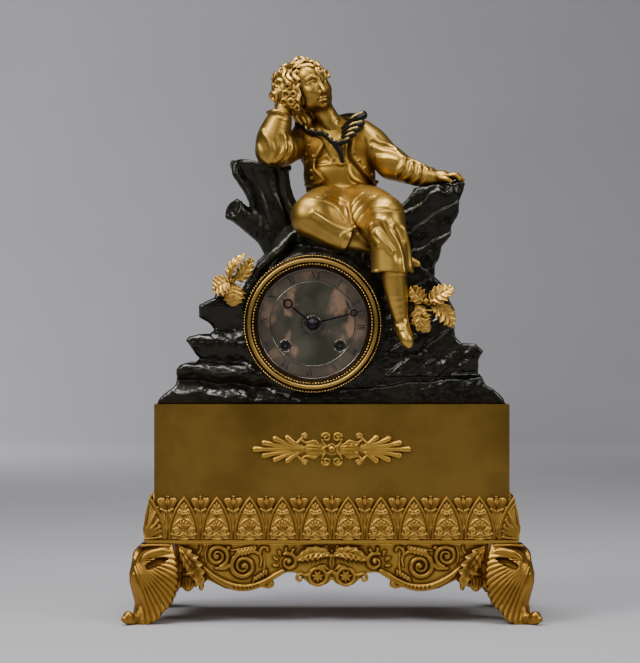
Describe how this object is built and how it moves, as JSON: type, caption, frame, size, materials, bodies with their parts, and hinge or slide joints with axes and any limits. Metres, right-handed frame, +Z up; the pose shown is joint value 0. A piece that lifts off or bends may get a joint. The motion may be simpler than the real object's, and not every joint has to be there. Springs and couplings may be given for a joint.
{
  "type": "figural mantel clock",
  "caption": "Gilt and dark bronze mantel clock: a youth resting on a rock that holds the dial, above a plinth with palmette mount, arched frieze and shell feet.",
  "frame": {"origin": "on the floor under the middle of the base", "axes": "+Z up, -Y towards the viewer that the dial faces, +X to that viewer's right"},
  "size_m": [0.349, 0.1564, 0.4798],
  "materials": {
    "gilt_bronze": "cast, chased and fire gilt, matte grounds with burnished ridges and brown tarnish in the hollows",
    "brushed_gilt": "matte gilt sheet with a fine straight grain and darker tarnish",
    "dark_bronze": "cast bronze with a near-black green-brown patina",
    "blued_steel": "dark blued steel",
    "silvered_dial": "silvered metal with fine turned rings, tarnished in patches",
    "movement_brass": "finished brass",
    "steel": "bright steel"
  },
  "bodies": {
    "case": {"foot_front_left": "gilt_bronze", "foot_front_right": "gilt_bronze", "foot_rear_left": "gilt_bronze", "foot_rear_right": "gilt_bronze", "apron_front": "gilt_bronze", "apron_left": "gilt_bronze", "apron_right": "gilt_bronze", "base_plate": "brushed_gilt", "frieze_front": "gilt_bronze", "frieze_left": "gilt_bronze", "frieze_right": "gilt_bronze", "plinth_front": "brushed_gilt", "plinth_back": "brushed_gilt", "plinth_left": "brushed_gilt", "plinth_right": "brushed_gilt", "plinth_top": "brushed_gilt", "palmette_mount": "gilt_bronze", "rock_base": "dark_bronze", "tree_stump": "dark_bronze", "rock_pillar": "dark_bronze", "leaf_spray_left": "gilt_bronze", "leaf_spray_right": "gilt_bronze", "figure_hips": "gilt_bronze", "figure_torso": "gilt_bronze", "figure_head": "gilt_bronze", "figure_collar": "dark_bronze", "figure_right_arm": "gilt_bronze", "figure_left_arm": "gilt_bronze", "figure_left_leg": "gilt_bronze", "figure_right_leg": "gilt_bronze", "bezel": "gilt_bronze", "dial": "silvered_dial", "front_plate": "movement_brass", "back_plate": "movement_brass", "movement_pillars": "movement_brass", "suspension_cock": "movement_brass", "bell": "movement_brass", "bell_stand": "movement_brass", "rear_ring": "movement_brass", "case_fasteners": "steel"},
    "minute_motion": {"minute_hand": "blued_steel", "centre_wheel": "movement_brass"},
    "hour_motion": {"hour_hand": "blued_steel", "hour_wheel": "movement_brass"},
    "minute_wheel": {"minute_wheel": "movement_brass"},
    "going_barrel": {"going_barrel": "movement_brass"},
    "going_winding": {"going_winding": "steel"},
    "going_click": {"going_click": "steel"},
    "intermediate_wheel": {"intermediate_wheel": "movement_brass"},
    "third_wheel": {"third_wheel": "movement_brass"},
    "escape_wheel": {"escape_wheel": "movement_brass"},
    "anchor": {"anchor": "steel"},
    "pendulum": {"pendulum": "movement_brass"},
    "strike_barrel": {"strike_barrel": "movement_brass"},
    "strike_winding": {"strike_winding": "steel"},
    "strike_click": {"strike_click": "steel"},
    "pin_wheel": {"pin_wheel": "movement_brass"},
    "fly": {"fly": "movement_brass"},
    "hammer": {"hammer": "steel"},
    "rear_door": {"rear_door": "movement_brass"}
  },
  "joints": [
    {"name": "minute_hand_turn", "type": "hinge", "parent": "case", "child": "minute_motion", "pos_m": [-0.0161, -0.04, 0.2502], "axis": [0, 1, 0], "continuous": true},
    {"name": "hour_hand_turn", "type": "hinge", "parent": "case", "child": "hour_motion", "pos_m": [-0.0161, -0.045, 0.2502], "axis": [0, 1, 0], "continuous": true},
    {"name": "minute_wheel_turn", "type": "hinge", "parent": "case", "child": "minute_wheel", "pos_m": [-0.02662, -0.041, 0.24637], "axis": [0, 1, 0], "continuous": true},
    {"name": "intermediate_wheel_turn", "type": "hinge", "parent": "case", "child": "intermediate_wheel", "pos_m": [0.00182, -0.02, 0.25188], "axis": [0, 1, 0], "continuous": true},
    {"name": "going_barrel_turn", "type": "hinge", "parent": "case", "child": "going_barrel", "pos_m": [0.0069, -0.02, 0.2315], "axis": [0, 1, 0], "continuous": true},
    {"name": "third_wheel_turn", "type": "hinge", "parent": "case", "child": "third_wheel", "pos_m": [-0.01011, -0.02, 0.26664], "axis": [0, 1, 0], "continuous": true},
    {"name": "escape_wheel_turn", "type": "hinge", "parent": "case", "child": "escape_wheel", "pos_m": [-0.0161, -0.02, 0.27705], "axis": [0, 1, 0], "continuous": true},
    {"name": "strike_barrel_turn", "type": "hinge", "parent": "case", "child": "strike_barrel", "pos_m": [-0.0391, -0.02, 0.2315], "axis": [0, 1, 0], "continuous": true},
    {"name": "pin_wheel_turn", "type": "hinge", "parent": "case", "child": "pin_wheel", "pos_m": [-0.0391, -0.02, 0.2525], "axis": [0, 1, 0], "continuous": true},
    {"name": "fly_turn", "type": "hinge", "parent": "case", "child": "fly", "pos_m": [-0.0326, -0.02, 0.26376], "axis": [0, 1, 0], "continuous": true},
    {"name": "going_winding_turn", "type": "hinge", "parent": "case", "child": "going_winding", "pos_m": [0.0069, -0.02, 0.2315], "axis": [0, 1, 0], "continuous": true},
    {"name": "strike_winding_turn", "type": "hinge", "parent": "case", "child": "strike_winding", "pos_m": [-0.0391, -0.02, 0.2315], "axis": [0, 1, 0], "continuous": true},
    {"name": "going_click_lift", "type": "hinge", "parent": "case", "child": "going_click", "pos_m": [0.0149, -0.0388, 0.24105], "axis": [0, 1, 0], "range_deg": [0, 12]},
    {"name": "strike_click_lift", "type": "hinge", "parent": "case", "child": "strike_click", "pos_m": [-0.0471, -0.0388, 0.24105], "axis": [0, -1, 0], "range_deg": [0, 12]},
    {"name": "pendulum_swing", "type": "hinge", "parent": "case", "child": "pendulum", "pos_m": [-0.0161, 0.0035, 0.28805], "axis": [0, 1, 0], "range_deg": [-4, 4]},
    {"name": "anchor_rock", "type": "hinge", "parent": "case", "child": "anchor", "pos_m": [-0.0161, -0.01, 0.28805], "axis": [0, 1, 0], "range_deg": [-4, 4]},
    {"name": "hammer_lift", "type": "hinge", "parent": "case", "child": "hammer", "pos_m": [-0.05177, 0, 0.25998], "axis": [0, -1, 0], "range_deg": [0, 18]},
    {"name": "rear_door_open", "type": "hinge", "parent": "case", "child": "rear_door", "pos_m": [0.0391, 0.0471, 0.2502], "axis": [0, 0, -1], "range_deg": [0, 110]}
  ],
  "couplings": [
    {"joint": "minute_wheel_turn", "follows": "minute_hand_turn", "ratio": -0.33333},
    {"joint": "hour_hand_turn", "follows": "minute_hand_turn", "ratio": 0.083333},
    {"joint": "intermediate_wheel_turn", "follows": "minute_hand_turn", "ratio": -0.2},
    {"joint": "going_barrel_turn", "follows": "minute_hand_turn", "ratio": 0.033333},
    {"joint": "third_wheel_turn", "follows": "minute_hand_turn", "ratio": -6},
    {"joint": "escape_wheel_turn", "follows": "minute_hand_turn", "ratio": 30},
    {"joint": "pin_wheel_turn", "follows": "strike_barrel_turn", "ratio": -6},
    {"joint": "fly_turn", "follows": "strike_barrel_turn", "ratio": 20},
    {"joint": "anchor_rock", "follows": "pendulum_swing", "ratio": 1}
  ]
}
